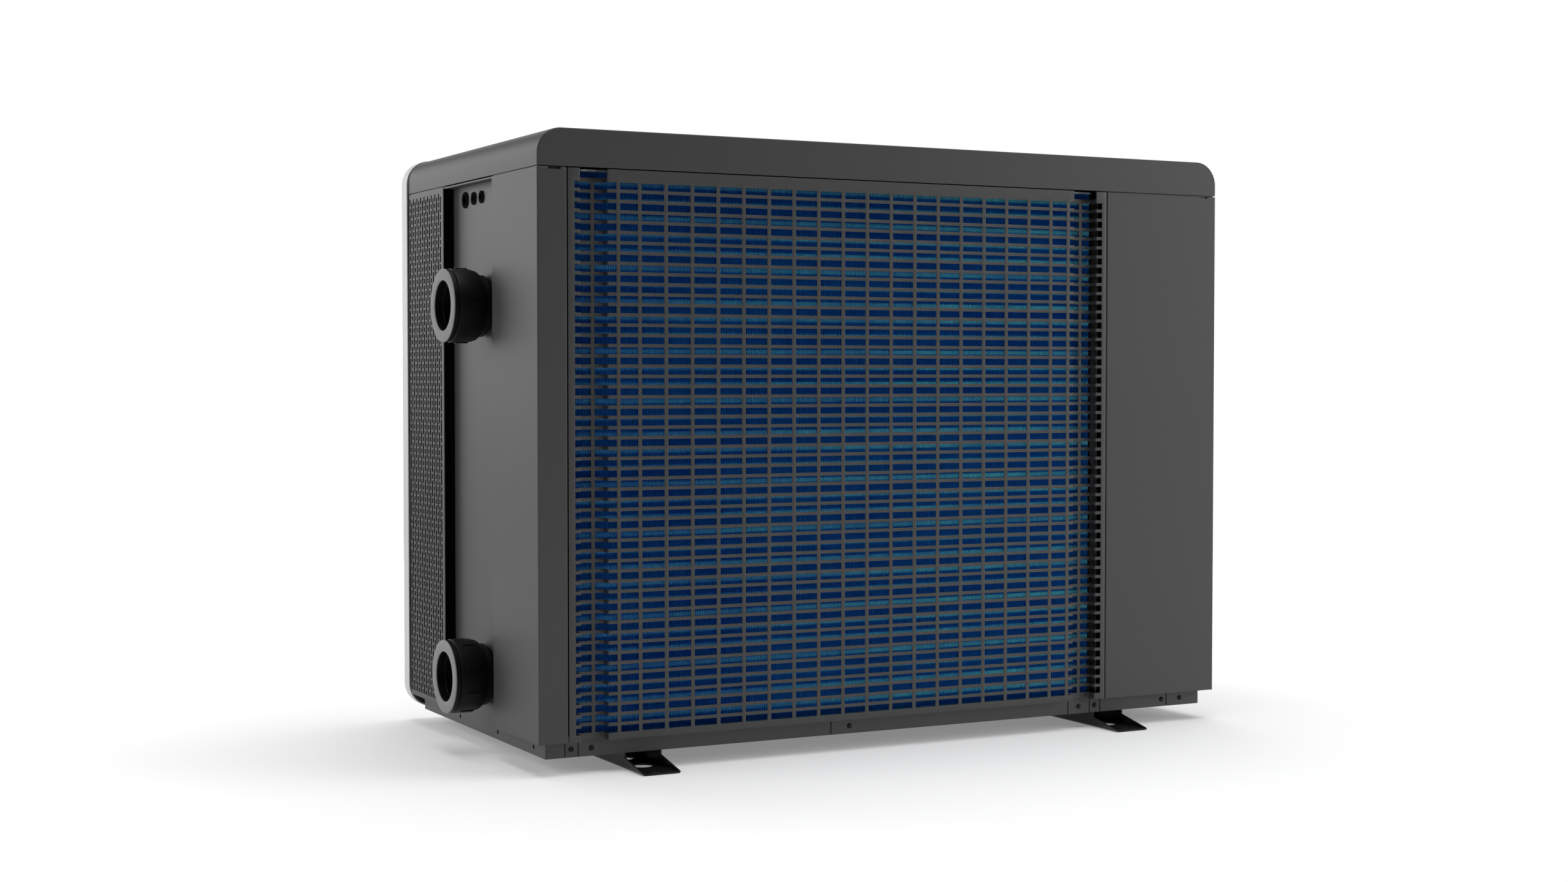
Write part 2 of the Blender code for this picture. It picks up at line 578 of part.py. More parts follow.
# ---- water side ---------------------------------------------------------------------------
def make_union(level, paint):
    """A union: threaded body through the wall, O-ring, pipe socket and ribbed coupling nut."""
    centre = (SIDE_X, UNION_Y, UNION_Z[level])
    out = (1, 0, 0)
    vessel_face = VESSEL_X + VESSEL_R + 0.006 + GAP - SIDE_X
    turned(f"union_body_{level}",
           [(SPIGOT_R, -0.0023), (0.0372, -0.0023), (0.0390, -0.0040), (0.0390, -0.0100),
            (0.0285, -0.0105), (0.0285, vessel_face), (SPIGOT_R, vessel_face)],
           centre, out, paint["black"], 32, ring=True)
    turned(f"union_seal_{level}", [(0.0250, -0.0013), (0.0340, -0.0013), (0.0340, -0.0020),
                                   (0.0250, -0.0020)], centre, out, paint["rubber"], 24, ring=True)
    turned(f"union_socket_{level}",
           [(SOCKET_R, UNION_REACH), (UNION_R - 0.0006, UNION_REACH), (UNION_R, UNION_REACH - 0.0006),
            (UNION_R, UNION_REACH - 0.0070), (0.0400, UNION_REACH - 0.0075), (0.0380, -0.0010),
            (0.0255, -0.0010), (0.0255, 0.0080), (SOCKET_R - 0.0008, 0.0080)],
           centre, out, paint["black"], 32, ring=True)
    nut = turned(f"union_nut_{level}",
                 [(0.0412, UNION_REACH - 0.0078), (UNION_R + 0.0004, UNION_REACH - 0.0078),
                  (UNION_R + 0.0004, 0.0060), (0.0445, 0.0010), (0.0402, -0.0022),
                  (0.0394, -0.0022), (0.0394, 0.0200)],
                 centre, out, paint["black"], 32, ring=True)
    for rib in range(8):
        bm = bmesh.new()
        add_box(bm, (0.0080, -0.0035, UNION_R - 0.0030), (0.0240, 0.0035, UNION_R + 0.0018))
        turn = Matrix.Rotation(radians(45 * rib), 4, "X")
        bmesh.ops.transform(bm, matrix=Matrix.Translation(centre) @ turn, verts=bm.verts)
        join(nut, link(f"nut_rib_{level}_{rib}", bm, paint["black"]))
    return nut


def make_exchanger(paint):
    """The titanium exchanger's upright plastic vessel, with a boss for each water way."""
    foot, top = BASE_Z + 0.0018, BASE_Z + 0.600
    r = VESSEL_R
    vessel = turned("water_exchanger",
                    [(0, top), (r * 0.5, top - 0.006), (r * 0.85, top - 0.026), (r, top - 0.060),
                     (r, foot + 0.004), (r + 0.006, foot + 0.004), (r + 0.006, foot), (0, foot)],
                    (VESSEL_X, UNION_Y, 0), (0, 0, 1), paint["vessel"], 28)
    for level, z in UNION_Z.items():
        join(vessel, cylinder(f"vessel_boss_{level}", (VESSEL_X + r / 2 + 0.003, UNION_Y, z),
                              (1, 0, 0), 0.034, r + 0.006, paint["vessel"], 24))
    for level, z in UNION_Z.items():
        boolean(vessel, cylinder(f"vessel_bore_{level}", (VESSEL_X + r, UNION_Y, z), (1, 0, 0),
                                 SPIGOT_R, 0.060, paint["vessel"], 24))
    return vessel


def make_refrigeration(paint):
    x, y = COMPRESSOR_X, COMPRESSOR_Y
    pad_z = BASE_Z + 0.0018
    feet = [(x + 0.066 * cos(a), y + 0.066 * sin(a)) for a in (radians(90), radians(210), radians(330))]
    shell_z = pad_z + 0.018
    shell = turned("compressor",
                   [(0, 0.270), (0.035, 0.264), (0.052, 0.246), (0.058, 0.226), (0.058, 0.034),
                    (0.050, 0.014), (0.030, 0.004), (0, 0.004)],
                   (x, y, shell_z), (0, 0, 1), paint["compressor"], 28)
    foot_outline = []
    for number in range(3):
        angle = radians(90 + 120 * number)
        for step in range(-2, 3):
            spread = angle + radians(30 * step)
            foot_outline.append((x + 0.058 * cos(angle) + 0.018 * cos(spread),
                                 y + 0.058 * sin(angle) + 0.018 * sin(spread)))
    join(shell, plate("compressor_foot", foot_outline, 0.004,
                      Matrix.Translation((0, 0, shell_z + 0.006)), paint["compressor"]))
    for number, (fx, fy) in enumerate(feet, 1):
        turned(f"compressor_mount_{number}",
               [(0, 0.0215), (0.009, 0.0215), (0.012, 0.010), (0.012, 0), (0, 0)],
               (fx, fy, pad_z), (0, 0, 1), paint["rubber"], 14)
    receiver_y = y - 0.105
    turned("accumulator", [(0, 0.190), (0.018, 0.186), (0.028, 0.172), (0.030, 0.018),
                           (0.020, 0.004), (0, 0)],
           (x, receiver_y, pad_z), (0, 0, 1), paint["compressor"], 20)
    valve_y, valve_z = y - 0.065, BASE_Z + 0.420
    copper = paint["copper"]
    valve = cylinder("four_way_valve", (x, valve_y, valve_z), (0, 1, 0), 0.014, 0.080, copper, 16)
    stubs = {"gas": -0.028, "suction": 0.0, "coil": 0.028}
    for port, offset in stubs.items():
        join(valve, cylinder(f"valve_stub_{port}", (x, valve_y + offset, valve_z - 0.020),
                             (0, 0, 1), 0.0062, 0.030, copper, 10))
    join(valve, cylinder("valve_stub_discharge", (x, valve_y, valve_z + 0.020), (0, 0, 1), 0.0062,
                         0.030, copper, 10))
    stub_bottom = valve_z - 0.035 - GAP
    tube("discharge_line", [(x, y, shell_z + 0.270 + GAP), (x, y, valve_z + 0.085),
                            (x, valve_y, valve_z + 0.085), (x, valve_y, valve_z + 0.035 + GAP)],
         0.0055, copper, 0.018)
    tube("suction_line", [(x, receiver_y, pad_z + 0.190 + GAP), (x, receiver_y, valve_z - 0.075),
                          (x, valve_y, valve_z - 0.075), (x, valve_y, stub_bottom)],
         0.0062, copper, 0.018)
    coil_port = (COIL_X[0] - GAP, sum(COIL_Y) / 2)
    high, low = COIL_PORT_Z["gas"], COIL_PORT_Z["liquid"]
    tube("coil_line", [(x, valve_y + stubs["coil"], stub_bottom), (x, valve_y + stubs["coil"], high),
                       (x + 0.040, valve_y + stubs["coil"], high), (x + 0.040, coil_port[1], high),
                       (coil_port[0], coil_port[1], high)], 0.0062, copper, 0.018)
    gas_y = valve_y + stubs["gas"]
    tube("gas_line", [(x, gas_y, stub_bottom), (x, gas_y, valve_z - 0.056),
                      (x + 0.056, gas_y, valve_z - 0.056), (x + 0.056, gas_y, GAS_LINE_Z),
                      (VESSEL_X - 0.154, gas_y, GAS_LINE_Z), (VESSEL_X - 0.154, UNION_Y, GAS_LINE_Z),
                      (VESSEL_X - VESSEL_R - GAP, UNION_Y, GAS_LINE_Z)], 0.0062, copper, 0.018)
    liquid = tube("liquid_line", [(VESSEL_X, UNION_Y + VESSEL_R + GAP, GAS_LINE_Z + 0.020),
                                  (VESSEL_X, LIQUID_LINE_Y, GAS_LINE_Z + 0.020),
                                  (x + 0.045, LIQUID_LINE_Y, GAS_LINE_Z + 0.020),
                                  (x + 0.045, LIQUID_LINE_Y, low), (x + 0.045, coil_port[1], low),
                                  (coil_port[0], coil_port[1], low)], 0.0045, copper, 0.016)
    return liquid


def make_partition(paint):
    """The wall of the compressor room, with clearance holes for the four refrigerant lines."""
    wall = box("partition", (PARTITION_X - SHEET, FRONT_Y + 0.0225, BASE_Z + 0.0018),
               (PARTITION_X, COIL_Y[1], BASE_Z + 0.690), paint["zinc"])
    gas_y = COMPRESSOR_Y - 0.093
    for number, (y, z) in enumerate(((gas_y, GAS_LINE_Z), (LIQUID_LINE_Y, GAS_LINE_Z + 0.020),
                                     (sum(COIL_Y) / 2, COIL_PORT_Z["gas"]),
                                     (sum(COIL_Y) / 2, COIL_PORT_Z["liquid"])), 1):
        boolean(wall, cylinder(f"line_hole_cut_{number}", (PARTITION_X, y, z), (1, 0, 0), 0.0095,
                               0.01, paint["zinc"], 16))
    return wall


# ---- controls -----------------------------------------------------------------------------
def make_controls(paint):
    low = Vector((SIDE_X - 0.330, UNION_Y - 0.150, BASE_Z + 0.618))
    high = Vector((WALL_X - 0.006, UNION_Y + 0.070, BASE_Z + 0.672))
    tray("electrical_box", low, high, 0.002, paint["box"])
    box("electrical_lid", (low.x, low.y, high.z + GAP), (high.x, high.y, high.z + 0.0025), paint["box"])


def make_screws(paint):
    """The visible screws along the rear rail."""
    for number, across in enumerate((0.0472, 0.0734, 0.4291, 0.7844, 0.8106, 0.9231, 0.9545), 1):
        turned(f"rail_screw_{number}",
               [(0, 0.0016), (0.0022, 0.0015), (0.0032, 0.0008), (0.0034, GAP), (0, GAP)],
               (SIDE_X - across, RAIL_Y, BASE_Z + 0.0097), (0, 1, 0), paint["screw"], 12)


def build():
    for old in list(bpy.data.objects):
        bpy.data.objects.remove(old)
    scene = bpy.context.scene
    scene.collection.children.link(PARTS)
    scene.collection.children.link(CUTTERS)
    paint = make_finishes()
    make_base(paint)
    for name, x in zip(("foot_near", "foot_far"), FOOT_X):
        make_foot(name, x, paint)
    make_cover(paint)
    make_skins(paint)
    make_inner_walls(paint)
    make_grommets(paint)
    make_grille(paint)
    make_coil(paint)
    make_front(paint)
    make_guard(paint)
    make_fan(paint)
    for level in UNION_Z:
        make_union(level, paint)
    make_exchanger(paint)
    make_refrigeration(paint)
    make_controls(paint)
    make_screws(paint)
    make_partition(paint)


build()
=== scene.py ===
"""Looks of the pool heat pump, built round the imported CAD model.

The outer skins, the slotted grille, the perforated air panel, the coil, the fan with its guard and
the water unions get detailed pieces here; the other CAD nodes stay and get better materials.
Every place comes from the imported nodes, in metres.
"""
import json
from math import atan2, cos, pi, radians, sin, tan

import bmesh
import bpy
from mathutils import Matrix, Vector


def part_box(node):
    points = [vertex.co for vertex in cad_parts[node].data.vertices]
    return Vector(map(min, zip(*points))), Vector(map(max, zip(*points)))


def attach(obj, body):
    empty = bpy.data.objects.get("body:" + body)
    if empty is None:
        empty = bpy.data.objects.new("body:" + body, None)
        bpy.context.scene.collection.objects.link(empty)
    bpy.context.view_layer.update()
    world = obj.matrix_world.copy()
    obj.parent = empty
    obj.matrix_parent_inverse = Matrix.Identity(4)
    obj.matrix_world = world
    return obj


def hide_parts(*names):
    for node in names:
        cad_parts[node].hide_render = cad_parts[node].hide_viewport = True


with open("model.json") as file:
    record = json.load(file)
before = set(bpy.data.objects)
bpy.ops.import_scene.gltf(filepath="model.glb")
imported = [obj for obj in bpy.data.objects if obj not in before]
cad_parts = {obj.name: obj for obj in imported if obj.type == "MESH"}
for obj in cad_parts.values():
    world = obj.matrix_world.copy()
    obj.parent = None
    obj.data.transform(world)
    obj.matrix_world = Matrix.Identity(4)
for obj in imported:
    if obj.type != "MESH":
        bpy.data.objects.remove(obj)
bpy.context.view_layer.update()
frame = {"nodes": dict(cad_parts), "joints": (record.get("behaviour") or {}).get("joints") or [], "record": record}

# ---- places read from the CAD model --------------------------------------------------------
COVER_LOW, COVER_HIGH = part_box("top_cover")
FAR_X, FRONT_Y, COVER_Z = COVER_LOW
SIDE_X, REAR_Y, TOP_Z = COVER_HIGH
GRILLE_LOW, GRILLE_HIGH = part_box("rear_grille")
SKIN_Z, PANEL_Z = GRILLE_LOW.z, GRILLE_HIGH.z
FASCIA_LOW, FASCIA_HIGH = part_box("front_fascia")
BASE_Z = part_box("base_pan")[0].z
NEAR_PANEL_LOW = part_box("corner_panel_near")[0]
FAR_PANEL_LOW, FAR_PANEL_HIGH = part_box("corner_panel_far")
SERVICE_LOW, SERVICE_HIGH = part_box("service_panel")
AIR_LOW, AIR_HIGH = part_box("air_panel")
COIL_LOW, COIL_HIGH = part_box("coil_fins")
GUARD_LOW, GUARD_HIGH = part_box("fan_guard")
SPIN = next(joint for joint in frame["joints"] if joint["name"] == "fan_spin")
FAN = Vector(SPIN["pos_m"])
UNION_AT = {level: Vector(joint["pos_m"]) for level in ("lower", "upper")
            for joint in frame["joints"] if joint["name"] == f"{level}_nut_turn"}

# ---- sizes of the detail ---------------------------------------------------------------------
SHEET = 0.0012                  # outer sheet metal
COVER_CORNER = 0.031            # radius of the cover's upper corners
GROOVE = 0.014                  # depth of the two grooves in the grille
BEND = 0.0015                   # fold radius of the sheets

FLANGE = 0.0158                 # grille, from its connection-side edge: flange, groove, main field
GROOVE_WIDTH = 0.0346
FIELD = 0.6751
FAR_GROOVE = 0.0350
FAR_FLANGE = 0.0166
SLOT_ROWS = 54
ROW_PITCH = 0.01229
SLOT_HEIGHT = 0.0082
SLOT_BOTTOM = 0.0283            # first row above the base
SLOT_COLUMNS = 17
COLUMN_PITCH = 0.0350
SLOT_WIDTH = 0.0300
NOTCH_Z = 0.6935                # both grooves stop here, above the base
GRILLE_SHEET = 0.0010

VENT_COLUMNS = 18               # perforations of the side air panel
VENT_PITCH = 0.00746
VENT_WIDTH = 0.0043
VENT_PERIOD = 0.0326
VENT_LONG = 0.0211
VENT_SHORT = 0.0061
VENT_SPACE = 0.0027
AIR_SHEET = 0.0003              # thin, so that the slots stay open from the side

FIN_PITCH = 0.0031
FIN_SHEET = 0.00016
FIN_WAVES = 7                   # folds across the depth of a fin, and how far they swing
FIN_SWING = 0.0006
TUBE_DEPTHS = (0.77, 0.27)      # the two banks of tubes, as shares of the coil's depth
TUBE_PITCH = 0.02017
TUBE_START = 0.0190             # lowest tube above the coil's lower edge
TUBE_R = 0.0040

UNION_R = 0.0462
SOCKET_R = 0.0316
NUT_RIBS = {"lower": (8, 20.0), "upper": (4, 0.0)}     # ribs on each nut, and where the first is

RING_STEP = 0.0116              # spacing of the guard's rings
WIRE_R = 0.0014
BLADES = 3
BLADE_SHEET = 0.0026

FLOOR_R = 2.75                  # floor disc, and where its glow starts and ends
GLOW_START, GLOW_END = 1.9, 2.7


# ---- materials -------------------------------------------------------------------------------
def linear(display):
    """Linear light of a display colour."""
    return [c / 12.92 if c < 0.04045 else ((c + 0.055) / 1.055) ** 2.4 for c in display]


class Finish:
    """A Principled material with helpers for procedural detail in object space, in metres."""

    def __init__(self, name, roughness, metallic=0.0, specular=0.5, coat=0.0):
        self.material = bpy.data.materials.new(name)
        self.material.use_nodes = True
        self.tree = self.material.node_tree
        self.shader = self.tree.nodes["Principled BSDF"]
        self.shader.inputs["Roughness"].default_value = roughness
        self.shader.inputs["Metallic"].default_value = metallic
        self.shader.inputs["Specular IOR Level"].default_value = specular
        self.shader.inputs["Coat Weight"].default_value = coat
        self.shader.inputs["Coat Roughness"].default_value = 0.15
        self.place = self.tree.nodes.new("ShaderNodeTexCoord").outputs["Object"]

    def node(self, kind, **settings):
        made = self.tree.nodes.new(kind)
        for key, value in settings.items():
            setattr(made, key, value)
        return made

    def link(self, source, target):
        self.tree.links.new(source, target)

    def noise(self, scale, detail=2.0, stretch=(1, 1, 1), roughness=0.5):
        mapping = self.node("ShaderNodeMapping")
        mapping.inputs["Scale"].default_value = stretch
        self.link(self.place, mapping.inputs["Vector"])
        made = self.node("ShaderNodeTexNoise")
        made.inputs["Scale"].default_value = scale
        made.inputs["Detail"].default_value = detail
        made.inputs["Roughness"].default_value = roughness
        self.link(mapping.outputs["Vector"], made.inputs["Vector"])
        return made.outputs["Fac"]

    def math(self, operation, first, second=None):
        made = self.node("ShaderNodeMath", operation=operation)
        for socket, value in zip(made.inputs, (first, second)):
            if value is None:
                continue
            if isinstance(value, (int, float)):
                socket.default_value = value
            else:
                self.link(value, socket)
        return made.outputs[0]

    def spread(self, source, low, high, start=0.3, end=0.7):
        made = self.node("ShaderNodeMapRange")
        for socket, value in (("From Min", start), ("From Max", end), ("To Min", low), ("To Max", high)):
            made.inputs[socket].default_value = value
        self.link(source, made.inputs["Value"])
        return made.outputs["Result"]

    def mix(self, share, first, second):
        made = self.node("ShaderNodeMix", data_type="RGBA")
        if isinstance(share, (int, float)):
            made.inputs["Factor"].default_value = share
        else:
            self.link(share, made.inputs["Factor"])
        for socket, value in zip((made.inputs[6], made.inputs[7]), (first, second)):
            if isinstance(value, (list, tuple)):
                socket.default_value = (*value[:3], 1.0)
            else:
                self.link(value, socket)
        return made.outputs[2]

    def colour(self, source):
        if isinstance(source, (list, tuple)):
            self.shader.inputs["Base Color"].default_value = (*source[:3], 1.0)
        else:
            self.link(source, self.shader.inputs["Base Color"])

    def roughness(self, source):
        self.link(source, self.shader.inputs["Roughness"])

    def bump(self, height, distance, strength=1.0):
        made = self.node("ShaderNodeBump")
        made.inputs["Strength"].default_value = strength
        made.inputs["Distance"].default_value = distance
        self.link(height, made.inputs["Height"])
        earlier = self.shader.inputs["Normal"].links
        if earlier:
            self.link(earlier[0].from_socket, made.inputs["Normal"])
        self.link(made.outputs["Normal"], self.shader.inputs["Normal"])


def powder_coat(name, display, roughness=0.5, shift=0.03, specular=0.5):
    """Baked powder paint: fine orange peel, faint clouding and a slightly uneven sheen."""
    paint = Finish(name, roughness, specular=specular)
    base = linear(display)
    clouds = paint.spread(paint.noise(5.0, 3.0), 0.0, 1.0)
    specks = paint.spread(paint.noise(1400.0, 1.0), 0.0, 1.0, 0.35, 0.65)
    toned = paint.mix(clouds, [c * (1 - shift) for c in base], [c * (1 + shift) for c in base])
    flecked = paint.mix(paint.math("MULTIPLY", specks, 0.12), toned, [c * 1.6 for c in base])
    paint.colour(flecked)
    paint.roughness(paint.spread(paint.noise(320.0, 3.0), roughness - 0.01, roughness + 0.02))
    paint.bump(paint.noise(900.0, 2.0), 0.00003, 0.6)
    return paint.material


def moulded_plastic(name, display, roughness=0.5, grain=900.0, depth=0.00004, specular=0.4):
    """Injection-moulded plastic with a fine spark-eroded grain and handling marks in its sheen."""
    plastic = Finish(name, roughness, specular=specular)
    base = linear(display)
    clouds = plastic.spread(plastic.noise(9.0, 2.0), 0.0, 1.0)
    plastic.colour(plastic.mix(clouds, [c * 0.92 for c in base], [c * 1.08 for c in base]))
    plastic.roughness(plastic.spread(plastic.noise(40.0, 5.0), roughness - 0.07, roughness + 0.09))
    plastic.bump(plastic.noise(grain, 3.0, roughness=0.7), depth, 0.8)
    return plastic.material


def galvanised(name):
    """Zinc-coated sheet with spangle and rolling lines."""
    zinc = Finish(name, 0.42, metallic=0.9)
    spangle = zinc.node("ShaderNodeTexVoronoi", feature="F1")
    spangle.inputs["Scale"].default_value = 160.0
    zinc.link(zinc.place, spangle.inputs["Vector"])
    grey = zinc.node("ShaderNodeSeparateColor")
    zinc.link(spangle.outputs["Color"], grey.inputs["Color"])
    tone = grey.outputs["Red"]
    zinc.colour(zinc.mix(tone, linear((0.62, 0.63, 0.64)), linear((0.78, 0.79, 0.80))))
    zinc.roughness(zinc.spread(tone, 0.32, 0.52, 0.0, 1.0))
    zinc.bump(zinc.noise(300.0, 2.0, (1, 1, 0.05)), 0.00003, 0.6)
    return zinc.material


def fin_coating(name):
    """Blue-coated fins with a painted highlight: each tube row gets a lighter band, stronger towards the far end
    and uneven along the coil.
    """
    fin = Finish(name, 0.42, metallic=0.0, specular=0.35)
    split = fin.node("ShaderNodeSeparateXYZ")
    fin.link(fin.place, split.inputs["Vector"])
    # painted highlight: a lighter band at each tube row stands for the tubes catching the light between the fins
    height = fin.math("SUBTRACT", split.outputs["Z"], COIL_LOW.z + TUBE_START - TUBE_PITCH / 2)
    share = fin.math("FRACT", fin.math("DIVIDE", height, TUBE_PITCH))
    away = fin.math("ABSOLUTE", fin.math("SUBTRACT", share, 0.5))
    band = fin.spread(away, 1.0, 0.0, 0.08, 0.17)
    # the painted highlight is strongest towards the far end (-X), where more light falls, and patchy along the
    # coil
    strength = fin.spread(split.outputs["X"], 1.0, 0.35, -0.10, 0.40)
    glint_patchiness = fin.spread(fin.noise(8.0, 2.0, (1, 1, 3.0)), 0.6, 1.0)
    painted_glint = fin.math("MULTIPLY", fin.math("MULTIPLY", band, strength), glint_patchiness)
    clouds = fin.spread(fin.noise(6.0, 3.0, (1, 1, 2.2)), 0.0, 1.0)
    deep = fin.mix(clouds, (0.014, 0.21, 0.68), (0.030, 0.31, 0.76))
    fin.colour(fin.mix(painted_glint, deep, (0.30, 0.97, 1.0)))
    fin.bump(fin.noise(500.0, 2.0), 0.00005, 0.5)
    return fin.material


def copper_tube(name):
    copper = Finish(name, 0.30, metallic=1.0)
    tarnish = copper.spread(copper.noise(45.0, 4.0), 0.0, 1.0, 0.42, 0.7)
    copper.colour(copper.mix(tarnish, linear((0.86, 0.55, 0.42)), linear((0.48, 0.28, 0.20))))
    copper.roughness(copper.spread(copper.noise(70.0, 3.0), 0.22, 0.5))
    copper.bump(copper.noise(220.0, 2.0), 0.00004, 0.5)
    return copper.material


def make_finishes():
    return {
        "charcoal_paint": powder_coat("charcoal_powder_coat", (0.215, 0.215, 0.218)),
        "silver_fascia": powder_coat("silver_satin", (0.76, 0.765, 0.77), 0.42, 0.015),
        # black enamel, also used as painted shade: the cover returns and CAD nodes in this slot, such as the
        # coil's end plates, are black where they show as shadow
        "black_paint": powder_coat("black_enamel_and_shade", (0.06, 0.06, 0.06), 0.36, 0.1, 0.4),
        "black_plastic": moulded_plastic("black_moulding", (0.045, 0.045, 0.047), 0.5, specular=0.16),
        "grey_ring": moulded_plastic("grey_end_face", (0.53, 0.53, 0.53), 0.7, specular=0.2),
        "galvanised_steel": galvanised("galvanised_sheet"),
        "blue_fin": fin_coating("blue_fin_coating"),
        "copper": copper_tube("copper_tube"),
        "compressor_enamel": powder_coat("compressor_enamel", (0.10, 0.10, 0.105), 0.4, 0.15),
        "vessel_plastic": moulded_plastic("vessel_moulding", (0.17, 0.18, 0.19), 0.5),
        "black_rubber": moulded_plastic("rubber", (0.03, 0.03, 0.03), 0.9, 1500.0, 0.00003, 0.03),
        "dark_screw": moulded_plastic("blackened_steel", (0.045, 0.045, 0.045), 0.45, 500.0, 0.00002, 0.2),
        "box_plastic": moulded_plastic("box_moulding", (0.80, 0.80, 0.77), 0.45),
    }


FINISH = make_finishes()


# ---- mesh helpers ----------------------------------------------------------------------------
def add_piece(name, bm, slot, replaced=None, body="cabinet", smooth=30):
    """Link a mesh, ride it on its body and hide the CAD node it stands for."""
    mesh = bpy.data.meshes.new(name)
    bm.to_mesh(mesh)
    bm.free()
    mesh.materials.append(FINISH[slot])
    if smooth:
        mesh.shade_smooth()
        mesh.set_sharp_from_angle(angle=radians(smooth))
    made = bpy.data.objects.new(name, mesh)
    bpy.context.scene.collection.objects.link(made)
    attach(made, body)
    if replaced:
        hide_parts(replaced)
    return made


def thicken(piece, thickness, offset=-1.0):
    """Give a sheet its thickness, inwards unless the offset says otherwise."""
    shell = piece.modifiers.new("thickness", "SOLIDIFY")
    shell.thickness = thickness
    shell.offset = offset
    shell.use_even_offset = True
    return flatten(piece)


def flatten(piece):
    """Keep broad faces flat where they run into a bend."""
    normals = piece.modifiers.new("normals", "WEIGHTED_NORMAL")
    normals.keep_sharp = True
    return piece


def soften(piece, width, segments=2, angle=40):
    """Round the sharper edges of a piece."""
    edges = piece.modifiers.new("edges", "BEVEL")
    edges.width = width
    edges.segments = segments
    edges.limit_method = "ANGLE"
    edges.angle_limit = radians(angle)
    edges.harden_normals = False
    return piece


def add_box(bm, low, high, turn=None):
    """Add a box between two corners, optionally turned about the origin."""
    low, high = Vector(low), Vector(high)
    size = Matrix.Diagonal((high - low).to_4d())
    size[3][3] = 1.0
    place = Matrix.Translation((low + high) / 2) @ size
    return bmesh.ops.create_cube(bm, size=1.0, matrix=turn @ place if turn else place)["verts"]


def along(path):
    """Distances of a path's corners from its start."""
    total, found = 0.0, [0.0]
    for before, after in zip(path, path[1:]):
        total += (Vector(after) - Vector(before)).length
        found.append(total)
    return found


def fold_point(path, marks, distance, radius):
    """A point at a distance along a bent path, with each corner taken as an arc."""
    for i in range(1, len(path) - 1):
        if abs(distance - marks[i]) < radius - 1e-9:
            corner = Vector(path[i])
            back = (Vector(path[i - 1]) - corner).normalized()
            on = (Vector(path[i + 1]) - corner).normalized()
            middle = corner + (back + on) * radius
            angle = (distance - marks[i] + radius) / (2 * radius) * pi / 2
            return middle - on * radius * cos(angle) - back * radius * sin(angle)
    for i in range(len(path) - 1):
        if distance <= marks[i + 1] + 1e-9:
            share = (distance - marks[i]) / (marks[i + 1] - marks[i])
            return Vector(path[i]).lerp(Vector(path[i + 1]), share)
    return Vector(path[-1])


def pierced_sheet(path, low, high, openings, radius=BEND, arc=4):
    """A right-angled folded sheet with rectangular openings (start, end, low, high), as a bmesh.

    start and end are distances along the path, whose corners are points in X and Y.
    """
    marks = along(path)
    across = {0.0, marks[-1]}
    for mark in marks[1:-1]:
        across.update(mark + radius * (2 * i / arc - 1) for i in range(arc + 1))
    up = {low, high}
    for start, end, bottom, top in openings:
        across.update((start, end))
        up.update((max(bottom, low), min(top, high)))
    across, up = tidy_steps(across), tidy_steps(up)
    bm = bmesh.new()
    grid = []
    for distance in across:
        spot = fold_point(path, marks, distance, radius)
        grid.append([bm.verts.new((spot[0], spot[1], z)) for z in up])
    opened = set()
    for start, end, bottom, top in openings:
        columns = [i for i in range(len(across) - 1) if start < (across[i] + across[i + 1]) / 2 < end]
        rows = [j for j in range(len(up) - 1) if bottom < (up[j] + up[j + 1]) / 2 < top]
        opened.update((i, j) for i in columns for j in rows)
    for i in range(len(across) - 1):
        for j in range(len(up) - 1):
            if (i, j) not in opened:
                bm.faces.new((grid[i][j], grid[i + 1][j], grid[i + 1][j + 1], grid[i][j + 1]))
    bmesh.ops.delete(bm, geom=[v for v in bm.verts if not v.link_faces], context="VERTS")
    face_away(bm, Vector(((SIDE_X + FAR_X) / 2, 0, (low + high) / 2)))
    return bm


def tidy_steps(values):
    """Sorted values with near repeats dropped."""
    kept = []
    for value in sorted(values):
        if not kept or value - kept[-1] > 1e-6:
            kept.append(value)
    return kept


def face_away(bm, centre):
    """Turn a connected sheet so that most of it faces away from a point."""
    bm.normal_update()
    outward = sum(f.normal.dot(f.calc_center_median() - centre) * f.calc_area() for f in bm.faces)
    if outward < 0:
        bmesh.ops.reverse_faces(bm, faces=bm.faces)


def lathe(profile, centre, axis, steps=96):
    """Turn a closed (radius, height) outline about an axis."""
    bm = bmesh.new()
    points = [bm.verts.new((max(r, 0.0), 0, h)) for r, h in profile]
    edges = [bm.edges.new((a, b)) for a, b in zip(points, points[1:] + points[:1])]
    bmesh.ops.spin(bm, geom=points + edges, cent=(0, 0, 0), axis=(0, 0, 1), angle=2 * pi,
                   steps=steps, use_merge=True, use_duplicate=False)
    bmesh.ops.remove_doubles(bm, verts=bm.verts, dist=1e-7)
    bmesh.ops.recalc_face_normals(bm, faces=bm.faces)
    turn = Vector((0, 0, 1)).rotation_difference(Vector(axis)).to_matrix().to_4x4()
    bmesh.ops.transform(bm, matrix=Matrix.Translation(centre) @ turn, verts=bm.verts)
    return bm


def merge(bm, other):
    """Append one bmesh to another."""
    mesh = bpy.data.meshes.new("merge")
    other.to_mesh(mesh)
    other.free()
    bm.from_mesh(mesh)
    bpy.data.meshes.remove(mesh)
    return bm


def loft(bm, rings, closed=True):
    """Skin rings of equal length with quads."""
    rows = [[bm.verts.new(p) for p in ring] for ring in rings]
    for a, b in zip(rows, rows[1:]):
        count = len(a)
        for i in range(count if closed else count - 1):
            j = (i + 1) % count
            bm.faces.new((a[i], a[j], b[j], b[i]))
    return rows


